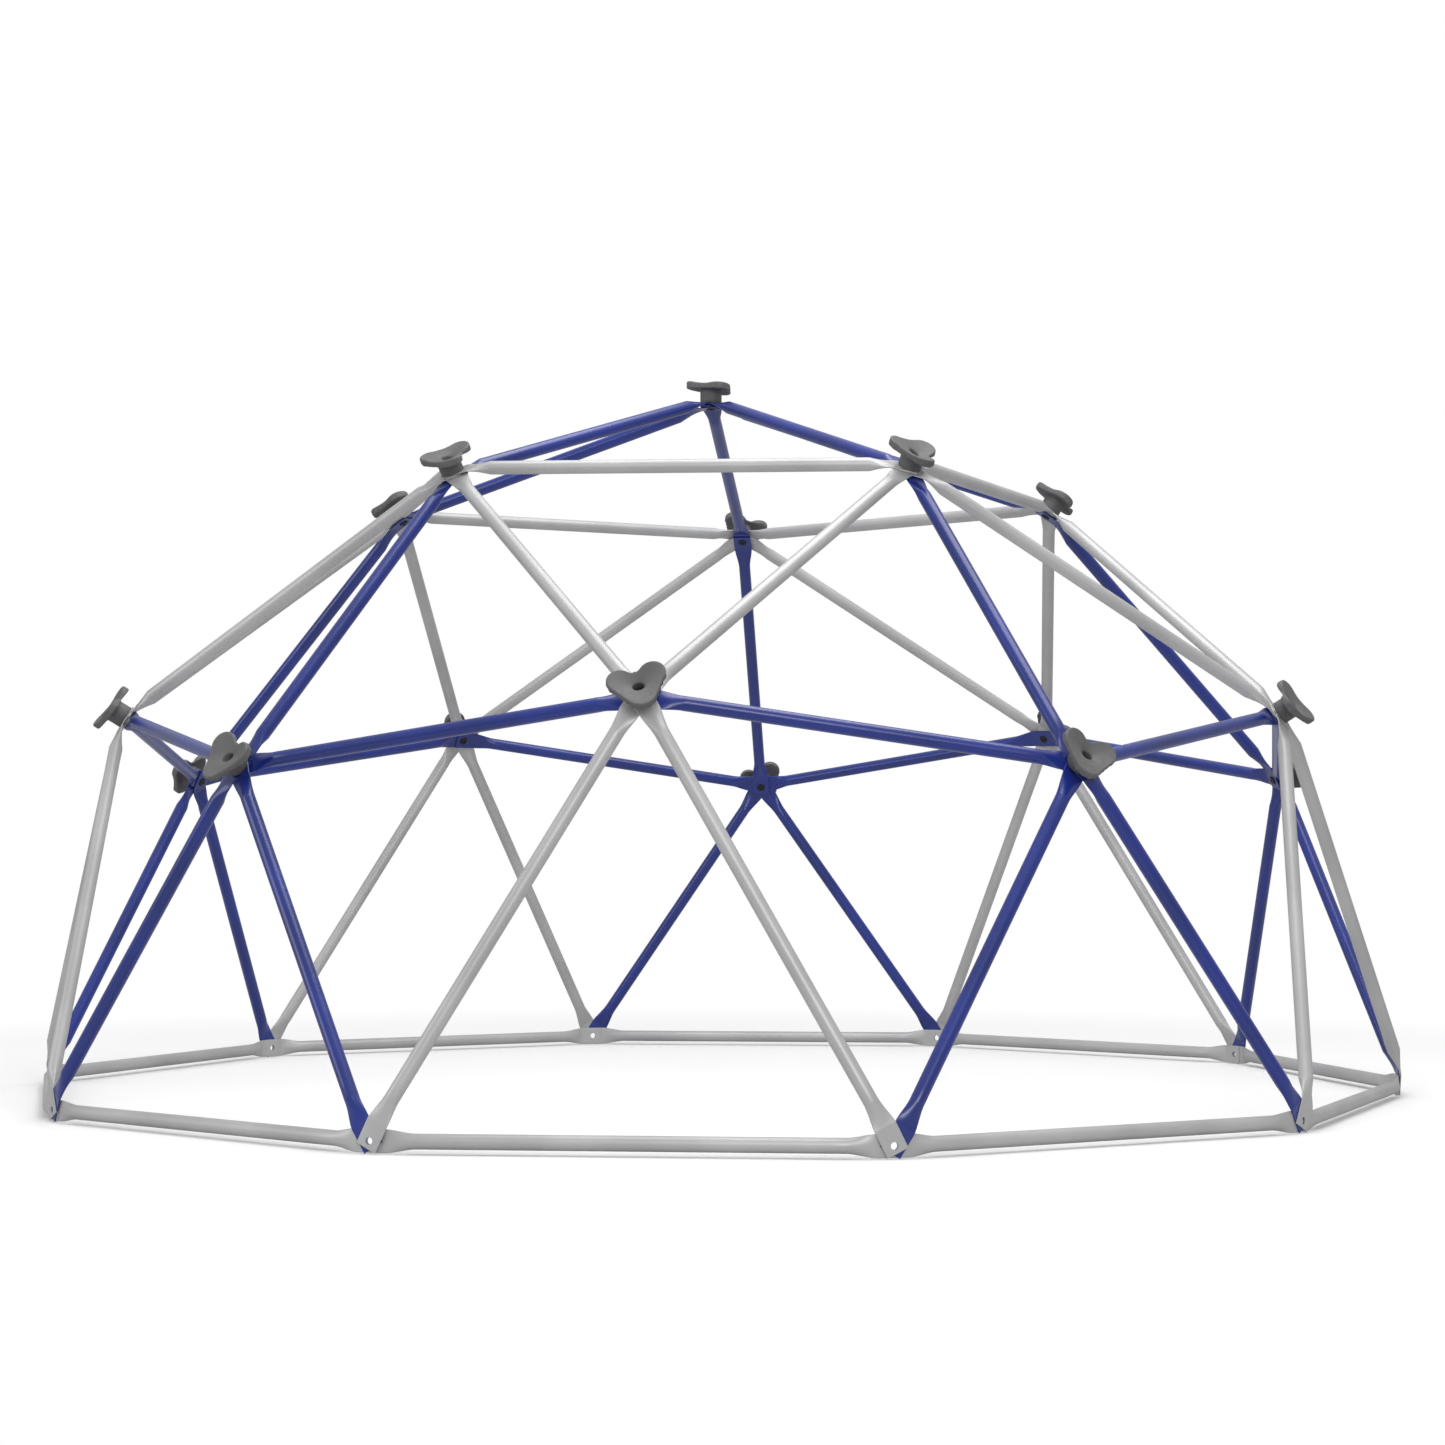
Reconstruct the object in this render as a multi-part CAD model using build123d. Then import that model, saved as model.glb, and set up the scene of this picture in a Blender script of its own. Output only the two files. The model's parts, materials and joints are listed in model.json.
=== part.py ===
from build123d import *
import math
import os

# Dome climber: a geodesic half-ball of bolted tubes with a moulded handhold on every raised joint.
# Millimetres, +Z up, origin on the ground below the apex. The +Y side has a rib, the -Y side a brace joint.

# ---- driving dimensions ----
dome_radius = 1500.0         # centre of the ball to the middle of a joint's tab stack
bay_count = 5                # the dome repeats five times round its axis
first_rib_azimuth = -126.0   # degrees from +X to the first rib joint

tube_diameter = 28.0
tube_wall = 1.2
flatten_length = 50.0        # from the bend to full round tube
tab_to_end = 19.5            # hole centre to the cut end of a tab
tab_to_bend = 31.0           # hole centre to the bend
foot_to_end = 14.0           # the same two on the lower end of a leg
foot_to_bend = 37.0
hole_radius = 7.0

bolt_radius = 5.0
bolt_head_radius = 9.5
bolt_head_height = 5.5
hex_socket_radius = 3.4
hex_socket_depth = 3.0
washer_radius = 10.0
washer_thickness = 2.0
sleeve_radius = 6.7
sleeve_reach = 6.0           # how far a barrel nut stands into the handhold
nut_head_radius = 10.0
nut_head_height = 3.0
nut_socket_depth = 1.6
bolt_reach = 10.0            # how far the bolt's tip passes the handhold's seat

boss_radius = 24.0
boss_height = 27.0
seat_thickness = 8.0         # solid plastic below the bolt's washer
recess_radius = 11.0
recess_mouth = 32.0          # height of the recess's mouth above the joint
lobe_tip = 58.0
lobe_radius = 23.0
notch_reach = 35.0           # centre to the bottom of the notch between two lobes
plate_edge_low = 37.0        # underside and top of the plate at a lobe's tip
plate_edge_high = 54.0
apex_grip_turn = 65.0        # degrees each handhold is turned about its own bolt
upper_grip_turns = [84, 28, 68, 20, 50]
rib_grip_turns = [8, 3, 93, 8, 18]
brace_grip_turns = [42, 68, 80, 66, 118]
squeeze_steps = (0.06, 0.2, 0.4, 0.6, 0.8, 1.0)   # where the squeezed part of a tube has its sections
flat_until = 0.2             # up to this step the squeezed tube keeps a flat top and bottom

# ---- derived sizes ----
tab_thickness = 2 * tube_wall
tube_radius = tube_diameter / 2
rib_polar = math.degrees(math.acos(1 / math.sqrt(5)))
upper_polar = rib_polar / 2
brace_polar = math.degrees(math.atan2(2 * math.cos(math.radians(36)), 1))
half_bay = 180.0 / bay_count


def flattened_half_width(half_height):
    """Half width of a squeezed tube whose skin keeps its length."""
    return math.pi * (tube_radius - half_height) / 2 + half_height


leg_lean = math.radians(upper_polar)
foot_depth = foot_to_end * math.cos(leg_lean) + flattened_half_width(tube_wall) * math.sin(leg_lean)


def direction(polar, azimuth):
    """Unit vector from the ball's centre to a joint."""
    level = math.sin(math.radians(polar))
    turn = math.radians(first_rib_azimuth + azimuth)
    return Vector(level * math.cos(turn), level * math.sin(turn), math.cos(math.radians(polar)))


# Each joint: where it is, and the order in which its tabs are stacked, outermost first.
def apex():
    return direction(0, 0), ["apex0", "apex1", "apex2", "apex3", "apex4"]


def upper_joint(bay):
    stack = ["crown_right", "crown_left", "brace_left", "brace_right", "apex", "rib"]
    return direction(upper_polar, 2 * half_bay * bay), stack


def rib_joint(bay):
    stack = ["leg_right", "leg_left", "belt_left", "belt_right", "rib"]
    return direction(rib_polar, 2 * half_bay * bay), stack


def brace_joint(bay):
    stack = ["leg_right", "leg_left", "brace_right", "brace_left", "belt_right", "belt_left"]
    return direction(brace_polar, 2 * half_bay * bay + half_bay), stack


def ground_joint(number):
    stack = ["brace_leg", "rib_leg", "ground_left", "ground_right"]
    return direction(90, half_bay * number + half_bay / 2), stack


def tab_centre(joint, tab):
    """Middle of a tab's hole, in its own layer of the stack."""
    outward, stack = joint
    layer = (len(stack) - 1) / 2 - stack.index(tab)
    return outward * (dome_radius + layer * tab_thickness)


def squeezed_section(plane, half_width, half_height, roundness):
    """Closed outline of a tube between flat (roundness 0, quarter-turn sides) and round (roundness 1)."""
    side_angle = math.radians(90 - 30 * roundness)
    corner_x = half_width - half_height * (1 - math.cos(side_angle))
    corner_y = half_height * math.sin(side_angle)
    if roundness == 0:
        top = Edge.make_line((-corner_x, corner_y), (corner_x, corner_y))
        bottom = Edge.make_line((corner_x, -corner_y), (-corner_x, -corner_y))
    else:
        top = Edge.make_three_point_arc((-corner_x, corner_y), (0, half_height), (corner_x, corner_y))
        bottom = Edge.make_three_point_arc((corner_x, -corner_y), (0, -half_height), (-corner_x, -corner_y))
    right = Edge.make_three_point_arc((corner_x, corner_y), (half_width, 0), (corner_x, -corner_y))
    left = Edge.make_three_point_arc((-corner_x, -corner_y), (-half_width, 0), (-corner_x, corner_y))
    return plane.location * Wire([top, right, bottom, left])


def end_sections(hole, tab_way, axis_way, facing, across, to_end, to_bend, inset):
    """Sections from a tab's cut end, over the bend, to round tube, with the way they face as 1 or -1.
    Inset is 0 for the outer skin and the wall for the cavity, which starts past the bend."""
    wide = flattened_half_width(tube_wall)
    bend = hole + tab_way * to_bend
    sections = []
    if inset == 0:
        mitre_way = (tab_way + axis_way).normalized()
        cut_end = Plane(hole - tab_way * to_end, x_dir=across, z_dir=tab_way * facing)
        mitre = Plane(bend, x_dir=across, z_dir=mitre_way * facing)
        sections.append(squeezed_section(cut_end, wide, tube_wall, 0))
        sections.append(squeezed_section(mitre, wide, tube_wall / mitre_way.dot(tab_way), 0))
    for part in squeeze_steps:
        half_height = tube_wall + part * (tube_radius - tube_wall)
        narrowing = part * (1 + part * (3 - 2 * part)) / 2
        half_width = wide + narrowing * (tube_radius - wide)
        plane = Plane(bend + axis_way * (part * flatten_length), x_dir=across, z_dir=axis_way * facing)
        roundness = part if part > flat_until else 0
        sections.append(squeezed_section(plane, half_width - inset, half_height - inset, roundness))
    return sections


def tube(start, start_tab, start_sizes, finish, finish_tab, finish_sizes):
    """One strut: a hollow tube with flattened, bent and drilled ends, between two joints."""
    hole_a = tab_centre(start, start_tab)
    hole_b = tab_centre(finish, finish_tab)
    out_a, out_b = start[0], finish[0]
    way_a = (out_b - out_a * out_a.dot(out_b)).normalized()
    way_b = (out_a - out_b * out_a.dot(out_b)).normalized()
    across = out_a.cross(out_b).normalized()
    bend_a = hole_a + way_a * start_sizes[1]
    bend_b = hole_b + way_b * finish_sizes[1]
    axis_way = (bend_b - bend_a).normalized()
    skins = []
    for inset in (0, tube_wall):
        near = end_sections(hole_a, way_a, axis_way, 1, across, *start_sizes, inset)
        far = end_sections(hole_b, way_b, axis_way * -1, -1, across, *finish_sizes, inset)
        skins.append(Solid.make_loft(near + far[::-1], ruled=True))
    strut = skins[0] - skins[1]
    for hole, outward in ((hole_a, out_a), (hole_b, out_b)):
        strut = strut - Plane(hole, z_dir=outward).location * Cylinder(hole_radius, 4 * tab_thickness)
    return strut.solid()


def joint_plane(joint, rotation):
    """Seat of a handhold: on the outer face of the tab stack, with X turned from the level direction."""
    outward, stack = joint
    level = Vector(0, 0, 1).cross(outward)
    if level.length < 0.001:
        level = Vector(1, 0, 0)
    seat = outward * (dome_radius + len(stack) / 2 * tab_thickness)
    return Plane(seat, x_dir=level.normalized(), z_dir=outward).rotated((0, 0, rotation))


def lobed_outline():
    """Three round lobes joined by hollow arcs that touch them smoothly."""
    lobe_centre = lobe_tip - lobe_radius
    third = math.radians(60)
    hollow_radius = notch_reach**2 + lobe_centre**2 - notch_reach * lobe_centre - lobe_radius**2
    hollow_radius /= 2 * lobe_radius - 2 * notch_reach + lobe_centre
    hollow_centre = notch_reach + hollow_radius
    share = lobe_radius / (lobe_radius + hollow_radius)
    touch_x = lobe_centre + share * (hollow_centre * math.cos(third) - lobe_centre)
    touch_y = share * hollow_centre * math.sin(third)
    edges = []
    for lobe in range(3):
        lobe_arc = Edge.make_three_point_arc((touch_x, -touch_y), (lobe_tip, 0), (touch_x, touch_y))
        notch = Vector(notch_reach * math.cos(third), notch_reach * math.sin(third))
        next_touch = Vector(touch_x, -touch_y).rotate(Axis.Z, 120)
        hollow_arc = Edge.make_three_point_arc((touch_x, touch_y), notch, next_touch)
        edges += [lobe_arc.rotate(Axis.Z, 120 * lobe), hollow_arc.rotate(Axis.Z, 120 * lobe)]
    return Face(Wire(edges))


def handhold():
    """Boss, dished three-lobed plate and stepped bolt hole, standing on z = 0."""
    reach = lobe_tip + 5
    underside = Edge.make_three_point_arc(
        (boss_radius, boss_height), (0.55 * lobe_tip, boss_height + 3), (reach, plate_edge_low + 2)
    )
    dish = Edge.make_three_point_arc(
        (reach, plate_edge_high + 2), (0.55 * lobe_tip, recess_mouth + 7), (recess_radius, recess_mouth)
    )
    half = Wire(
        [
            Edge.make_line((0, 0), (boss_radius, 0)),
            Edge.make_line((boss_radius, 0), (boss_radius, boss_height)),
            underside,
            Edge.make_line((reach, plate_edge_low + 2), (reach, plate_edge_high + 2)),
            dish,
            Edge.make_line((recess_radius, recess_mouth), (0, recess_mouth)),
            Edge.make_line((0, recess_mouth), (0, 0)),
        ]
    )
    turned = revolve(Plane.XZ * Face(half), Axis.Z)
    grip = turned & extrude(lobed_outline(), plate_edge_high + 5)
    grip -= Cylinder(hole_radius, 3 * seat_thickness)
    grip -= Pos(0, 0, seat_thickness) * Cylinder(recess_radius, 60, align=(Align.CENTER, Align.CENTER, Align.MIN))
    return grip.solid()


def turned_part(points):
    """Solid of revolution about Z from half its outline, as (radius, height) points."""
    outline = Polyline(*points, close=True)
    return revolve(Plane.XZ * Face(Wire(outline.edges())), Axis.Z)


def hex_socket(height):
    return Pos(0, 0, height) * extrude(RegularPolygon(hex_socket_radius, 6), hex_socket_depth)


def handhold_bolt():
    """Button-head screw from the handhold's recess down into the barrel nut."""
    under_head = seat_thickness + washer_thickness
    head_edge = under_head + bolt_head_height / 3
    head_top = under_head + bolt_head_height
    screw = turned_part(
        [
            (0, -bolt_reach),
            (bolt_radius, -bolt_reach),
            (bolt_radius, under_head),
            (bolt_head_radius, under_head),
            (bolt_head_radius, head_edge),
            (0.55 * bolt_head_radius, head_top),
            (0, head_top),
        ]
    )
    screw -= hex_socket(head_top - hex_socket_depth)
    return screw.solid()


def handhold_washer():
    ring = Cylinder(washer_radius, washer_thickness) - Cylinder(bolt_radius + 0.2, 3 * washer_thickness)
    return (Pos(0, 0, seat_thickness + washer_thickness / 2) * ring).solid()


def barrel_nut(stack_height):
    """Low round head against the inner tab, with a threaded sleeve that lines up the whole stack."""
    head_low = -stack_height - nut_head_height
    nut = turned_part(
        [
            (0, head_low),
            (0.7 * nut_head_radius, head_low),
            (nut_head_radius, -stack_height - 0.3 * nut_head_height),
            (nut_head_radius, -stack_height),
            (sleeve_radius, -stack_height),
            (sleeve_radius, sleeve_reach),
            (bolt_radius + 0.1, sleeve_reach),
            (bolt_radius + 0.1, -bolt_reach - 1),
            (0, -bolt_reach - 1),
        ]
    )
    nut -= Pos(0, 0, head_low) * extrude(RegularPolygon(hex_socket_radius, 6), nut_socket_depth)
    return nut.solid()


def strut_nodes():
    """All 65 struts, each built once for the first bay and turned to the others."""
    plain = (tab_to_end, tab_to_bend)
    foot = (foot_to_end, foot_to_bend)
    here, after = rib_joint(0), rib_joint(1)
    upper, upper_after = upper_joint(0), upper_joint(1)
    brace = brace_joint(0)
    feet = [ground_joint(number) for number in (-1, 0, 1, 2)]
    families = {
        "crown_strut": [tube(upper, "crown_right", plain, upper_after, "crown_left", plain)],
        "upper_rib": [tube(upper, "rib", plain, here, "rib", plain)],
        "upper_brace_pair": [
            tube(upper, "brace_right", plain, brace, "brace_left", plain),
            tube(upper_after, "brace_left", plain, brace, "brace_right", plain),
        ],
        "belt_pair": [
            tube(here, "belt_right", plain, brace, "belt_left", plain),
            tube(after, "belt_left", plain, brace, "belt_right", plain),
        ],
        "rib_leg_pair": [
            tube(here, "leg_left", plain, feet[0], "rib_leg", foot),
            tube(here, "leg_right", plain, feet[1], "rib_leg", foot),
        ],
        "brace_leg_pair": [
            tube(brace, "leg_left", plain, feet[1], "brace_leg", foot),
            tube(brace, "leg_right", plain, feet[2], "brace_leg", foot),
        ],
        "ground_pair": [
            tube(feet[0], "ground_right", plain, feet[1], "ground_left", plain),
            tube(feet[1], "ground_right", plain, feet[2], "ground_left", plain),
        ],
    }
    nodes = {}
    for bay in range(bay_count):
        turn = Rot(0, 0, 2 * half_bay * bay)
        apex_strut = tube(apex(), f"apex{bay}", plain, upper, "apex", plain)
        nodes[f"apex_strut_{bay + 1}"] = [turn * apex_strut]
        for family, struts in families.items():
            nodes[f"{family}_{bay + 1}"] = [turn * strut for strut in struts]
    return nodes


def grip_joints():
    """Every raised joint, with the turn of its handhold about the joint's own axis."""
    joints = {"handhold_apex": (apex(), apex_grip_turn)}
    for bay in range(bay_count):
        joints[f"handhold_upper_{bay + 1}"] = (upper_joint(bay), upper_grip_turns[bay])
        joints[f"handhold_rib_{bay + 1}"] = (rib_joint(bay), rib_grip_turns[bay])
        joints[f"handhold_brace_{bay + 1}"] = (brace_joint(bay), brace_grip_turns[bay])
    return joints


def grip_nodes():
    """Handholds in a node each, and their bolts, washers and nuts in one node for each kind."""
    grip, bolt, washer = handhold(), handhold_bolt(), handhold_washer()
    nodes = {}
    bolts, washers, nuts = [], [], []
    for name, (joint, turn) in grip_joints().items():
        seat = joint_plane(joint, turn).location
        nodes[name] = [seat * grip]
        bolts.append(seat * bolt)
        washers.append(seat * washer)
        nuts.append(seat * barrel_nut(len(joint[1]) * tab_thickness))
    nodes["handhold_bolts"] = bolts
    nodes["handhold_washers"] = washers
    nodes["barrel_nuts"] = nuts
    return nodes


os.makedirs("parts", exist_ok=True)
lift = Pos(0, 0, foot_depth)
for node, solids in {**strut_nodes(), **grip_nodes()}.items():
    export_step(Compound(children=[lift * solid for solid in solids]), f"parts/{node}.step")
    print(node, len(solids), round(sum(solid.volume for solid in solids) / 1000, 2), "cm3")
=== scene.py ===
import json
import math
import bmesh
import bpy
from mathutils import Matrix, Vector


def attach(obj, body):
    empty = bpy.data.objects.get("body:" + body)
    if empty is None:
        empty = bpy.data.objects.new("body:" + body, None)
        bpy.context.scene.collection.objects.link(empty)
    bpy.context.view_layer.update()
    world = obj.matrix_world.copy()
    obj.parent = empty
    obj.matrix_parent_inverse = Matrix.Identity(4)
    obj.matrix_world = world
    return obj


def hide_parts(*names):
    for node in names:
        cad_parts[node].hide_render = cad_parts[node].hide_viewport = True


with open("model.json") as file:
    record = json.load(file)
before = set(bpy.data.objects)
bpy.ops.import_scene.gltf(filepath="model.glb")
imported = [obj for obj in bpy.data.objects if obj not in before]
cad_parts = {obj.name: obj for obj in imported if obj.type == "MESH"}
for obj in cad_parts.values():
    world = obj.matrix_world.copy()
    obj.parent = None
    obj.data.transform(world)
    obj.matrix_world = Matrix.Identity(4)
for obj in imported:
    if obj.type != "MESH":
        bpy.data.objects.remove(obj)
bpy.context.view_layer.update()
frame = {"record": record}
anchorHole = frame["record"]["mounts"][0]

# The net of joints. Lengths are in metres and angles in radians, polar angles from the top.
dome = {
    "radius": 1.5,
    "lift": anchorHole["pos_m"][2],          # height of the ground joints' plane
    "bays": 5,
    "firstRib": math.radians(-126),
    "upperPolar": math.acos(1 / math.sqrt(5)) / 2,
    "ribPolar": math.acos(1 / math.sqrt(5)),
    "bracePolar": math.atan2(2 * math.cos(math.radians(36)), 1),
    "tabPitch": 0.0024,                      # one tab lies on the next
}
halfBay = math.pi / dome["bays"]


def jointWay(polar, turn):
    azimuth = dome["firstRib"] + turn
    level = math.sin(polar)
    return Vector((level * math.cos(azimuth), level * math.sin(azimuth), math.cos(polar)))


def apexJoint():
    return jointWay(0, 0), ["apex0", "apex1", "apex2", "apex3", "apex4"]


def upperJoint(bay):
    stack = ["crownRight", "crownLeft", "braceLeft", "braceRight", "apex", "rib"]
    return jointWay(dome["upperPolar"], 2 * halfBay * bay), stack


def ribJoint(bay):
    stack = ["legRight", "legLeft", "beltLeft", "beltRight", "rib"]
    return jointWay(dome["ribPolar"], 2 * halfBay * bay), stack


def braceJoint(bay):
    stack = ["legRight", "legLeft", "braceRight", "braceLeft", "beltRight", "beltLeft"]
    return jointWay(dome["bracePolar"], 2 * halfBay * bay + halfBay), stack


def groundJoint(number):
    stack = ["braceLeg", "ribLeg", "groundLeft", "groundRight"]
    return jointWay(math.pi / 2, halfBay * number + halfBay / 2), stack


def stackPoint(joint, layer):
    outward, stack = joint
    away = dome["radius"] + layer * dome["tabPitch"]
    return outward * away + Vector((0, 0, dome["lift"]))


def tabCentre(joint, tab):
    stack = joint[1]
    return stackPoint(joint, (len(stack) - 1) / 2 - stack.index(tab))


def put(tree, kind, inputs=(), **settings):
    node = tree.nodes.new(kind)
    for name, value in settings.items():
        setattr(node, name, value)
    for key, value in dict(inputs).items():
        if isinstance(value, bpy.types.NodeSocket):
            tree.links.new(value, node.inputs[key])
        else:
            node.inputs[key].default_value = value
    return node


def calc(tree, operation, *values):
    kind = "ShaderNodeMath"
    return put(tree, kind, dict(enumerate(values)), operation=operation).outputs[0]


def vectorCalc(tree, operation, *values):
    node = put(tree, "ShaderNodeVectorMath", dict(enumerate(values)), operation=operation)
    return node.outputs["Value"] if operation in ("DOT_PRODUCT", "LENGTH") else node.outputs[0]


def scaled(tree, vector, factor):
    node = put(tree, "ShaderNodeVectorMath", {0: vector, "Scale": factor}, operation="SCALE")
    return node.outputs[0]


def mixed(tree, share, first, second):
    span = calc(tree, "SUBTRACT", second, first)
    return calc(tree, "MULTIPLY_ADD", span, share, first)


def newTree(name, kind, wanted, given):
    tree = bpy.data.node_groups.new(name, kind)
    for direction, sockets in (("INPUT", wanted), ("OUTPUT", given)):
        for socketName, socketKind, *value in sockets:
            socket = tree.interface.new_socket(socketName, in_out=direction, socket_type=socketKind)
            if value:
                socket.default_value = value[0]
    start = tree.nodes.new("NodeGroupInput")
    end = tree.nodes.new("NodeGroupOutput")
    return tree, start.outputs, end.inputs


def named(tree, name, kind):
    return put(tree, "GeometryNodeInputNamedAttribute", {"Name": name}, data_type=kind).outputs[0]


def grow(piece, tree, values):
    modifier = piece.modifiers.new(tree.name, "NODES")
    modifier.node_group = tree
    for item in tree.interface.items_tree:
        if item.in_out == "INPUT" and item.name in values:
            modifier[item.identifier] = values[item.name]
    bpy.context.view_layer.update()
    depsgraph = bpy.context.evaluated_depsgraph_get()
    mesh = bpy.data.meshes.new_from_object(piece.evaluated_get(depsgraph))
    piece.modifiers.clear()
    piece.data = mesh
    mesh.name = piece.name


def newPiece(name, mesh):
    piece = bpy.data.objects.new(name, mesh)
    bpy.context.scene.collection.objects.link(piece)
    return piece


def settle(piece, slot, *nodes):
    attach(piece, "root")
    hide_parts(*nodes)


def objectPlace(tree):
    return tree.nodes.new("ShaderNodeTexCoord").outputs["Object"]


def noise(tree, place, scale, detail=2.0, roughness=0.5):
    inputs = {"Vector": place, "Scale": scale, "Detail": detail, "Roughness": roughness}
    return put(tree, "ShaderNodeTexNoise", inputs).outputs[0]


def ramp(tree, value, low, high, fromValue=0.0, toValue=1.0):
    inputs = {"Value": value, "From Min": low, "From Max": high, "To Min": fromValue, "To Max": toValue}
    return put(tree, "ShaderNodeMapRange", inputs, interpolation_type="SMOOTHSTEP").outputs[0]


def mixColours(tree, share, first, second):
    inputs = {"Factor": share, 6: first, 7: second}
    return put(tree, "ShaderNodeMix", inputs, data_type="RGBA").outputs[2]


surfaceValues = {
    "driftRange": (0.3, 0.7),
    "speckRange": (0.42, 0.66),
    "markStretch": (1.0, 1.0, 0.22),         # marks are longer up and down
    "markRange": (0.56, 0.72),
    "patchScale": 7.0,       # marks come in patches
    "patchRange": (0.5, 0.75),
    "grainScale": 120.0,     # grains of dust
    "grainRange": (0.35, 0.8),
    "dustSlope": (0.3, 1.0),                 # how far a face looks up before dust lies, and where it is full
}


def makeCloudGroup():
    # Slow drift of tone over a part, and the fine skin of a coat or a moulding.
    wanted = [
        ("Place", "NodeSocketVector"),
        ("Drift Scale", "NodeSocketFloat", 6.0),
        ("Skin Scale", "NodeSocketFloat", 300.0),
        ("Speck Scale", "NodeSocketFloat", 900.0),
    ]
    given = [("Drift", "NodeSocketFloat"), ("Skin", "NodeSocketFloat"), ("Speck", "NodeSocketFloat")]
    tree, start, end = newTree("surfaceSkin", "ShaderNodeTree", wanted, given)
    drift = noise(tree, start["Place"], start["Drift Scale"], 3.0)
    tree.links.new(ramp(tree, drift, *surfaceValues["driftRange"]), end["Drift"])
    tree.links.new(noise(tree, start["Place"], start["Skin Scale"], 1.0), end["Skin"])
    speck = noise(tree, start["Place"], start["Speck Scale"], 2.0, 0.7)
    tree.links.new(ramp(tree, speck, *surfaceValues["speckRange"]), end["Speck"])
    return tree


def makeScuffGroup():
    # Short rubbed marks where hands, shoes and the assembly tools reach, and dust that settles on top.
    wanted = [
        ("Place", "NodeSocketVector"),
        ("Mark Scale", "NodeSocketFloat", 40.0),
        ("Amount", "NodeSocketFloat", 0.5),
    ]
    given = [("Scuff", "NodeSocketFloat"), ("Dust", "NodeSocketFloat")]
    tree, start, end = newTree("scuffAndDust", "ShaderNodeTree", wanted, given)
    values = surfaceValues
    stretch = put(tree, "ShaderNodeMapping", {"Vector": start["Place"], "Scale": values["markStretch"]})
    marks = noise(tree, stretch.outputs[0], start["Mark Scale"], 4.0, 0.65)
    marks = ramp(tree, marks, *values["markRange"])
    patches = ramp(tree, noise(tree, start["Place"], values["patchScale"]), *values["patchRange"])
    scuff = calc(tree, "MULTIPLY", calc(tree, "MULTIPLY", marks, patches), start["Amount"])
    tree.links.new(scuff, end["Scuff"])
    facing = tree.nodes.new("ShaderNodeNewGeometry").outputs["Normal"]
    upward = ramp(tree, put(tree, "ShaderNodeSeparateXYZ", {0: facing}).outputs[2], *values["dustSlope"])
    grains = ramp(tree, noise(tree, start["Place"], values["grainScale"], 3.0, 0.7), *values["grainRange"])
    dust = calc(tree, "MULTIPLY", calc(tree, "MULTIPLY", upward, grains), start["Amount"])
    tree.links.new(dust, end["Dust"])
    return tree


cloudGroup = makeCloudGroup()
scuffGroup = makeScuffGroup()


def startMaterial(name, values):
    material = bpy.data.materials.new(name)
    material.use_nodes = True
    tree = material.node_tree
    shader = tree.nodes["Principled BSDF"]
    place = objectPlace(tree)
    skin = put(tree, "ShaderNodeGroup", node_tree=cloudGroup)
    scuffs = put(tree, "ShaderNodeGroup", node_tree=scuffGroup)
    for node in (skin, scuffs):
        tree.links.new(place, node.inputs["Place"])
        for socket in node.inputs:
            if socket.name in values:
                socket.default_value = values[socket.name]
    for socketName, value in values["shader"].items():
        shader.inputs[socketName].default_value = value
    return material, tree, shader, skin.outputs, scuffs.outputs


coatWear = {
    "dust": 0.25,            # most that dust covers of a coat
    "dustColour": (0.5, 0.5, 0.48, 1),
    "driftDull": 0.15,       # how much the slow drift dulls a coat, against a full scuff
}


def coatMaterial(name, values):
    # Powder coat on steel: a slightly wavy glossy skin over a coloured ground.
    material, tree, shader, skin, scuffs = startMaterial(name, values)
    ground = mixColours(tree, skin["Drift"], values["deep"], values["clear"])
    flecks = calc(tree, "MULTIPLY", skin["Speck"], values["fleck"])
    flecked = mixColours(tree, flecks, ground, values["fleckColour"])
    rubbed = mixColours(tree, scuffs["Scuff"], flecked, values["rubbed"])
    dusty = calc(tree, "MULTIPLY", scuffs["Dust"], coatWear["dust"])
    dusted = mixColours(tree, dusty, rubbed, coatWear["dustColour"])
    tree.links.new(dusted, shader.inputs["Base Color"])
    worn = calc(tree, "MULTIPLY", skin["Drift"], coatWear["driftDull"])
    worn = calc(tree, "ADD", scuffs["Scuff"], worn)
    rough = calc(tree, "MULTIPLY_ADD", worn, values["wornRoughness"], values["roughness"])
    tree.links.new(rough, shader.inputs["Roughness"])
    bump = put(tree, "ShaderNodeBump", {"Height": skin["Skin"], "Distance": values["bump"], "Strength": 1.0})
    tree.links.new(bump.outputs[0], shader.inputs["Normal"])
    return material


blueCoat = {
    "deep": (0.006, 0.019, 0.17, 1),
    "clear": (0.008, 0.026, 0.25, 1),
    "fleck": 0.05,
    "fleckColour": (0.05, 0.09, 0.5, 1),
    "rubbed": (0.06, 0.08, 0.34, 1),
    "roughness": 0.3,
    "wornRoughness": 0.2,
    "bump": 0.00002,
    "Drift Scale": 5.0,
    "Skin Scale": 260.0,
    "Amount": 0.25,
    "shader": {"IOR": 1.5, "Coat Weight": 0.35, "Coat Roughness": 0.16},
}
silverCoat = {
    "deep": (0.44, 0.44, 0.445, 1),
    "clear": (0.52, 0.52, 0.52, 1),
    "fleck": 0.03,
    "fleckColour": (0.7, 0.7, 0.71, 1),
    "rubbed": (0.33, 0.33, 0.335, 1),
    "roughness": 0.42,
    "wornRoughness": 0.08,
    "bump": 0.000006,
    "Drift Scale": 5.0,
    "Skin Scale": 240.0,
    "Speck Scale": 900.0,
    "Amount": 0.1,
    "shader": {"Metallic": 0.25, "Coat Weight": 0.1, "Coat Roughness": 0.3},
}
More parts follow.
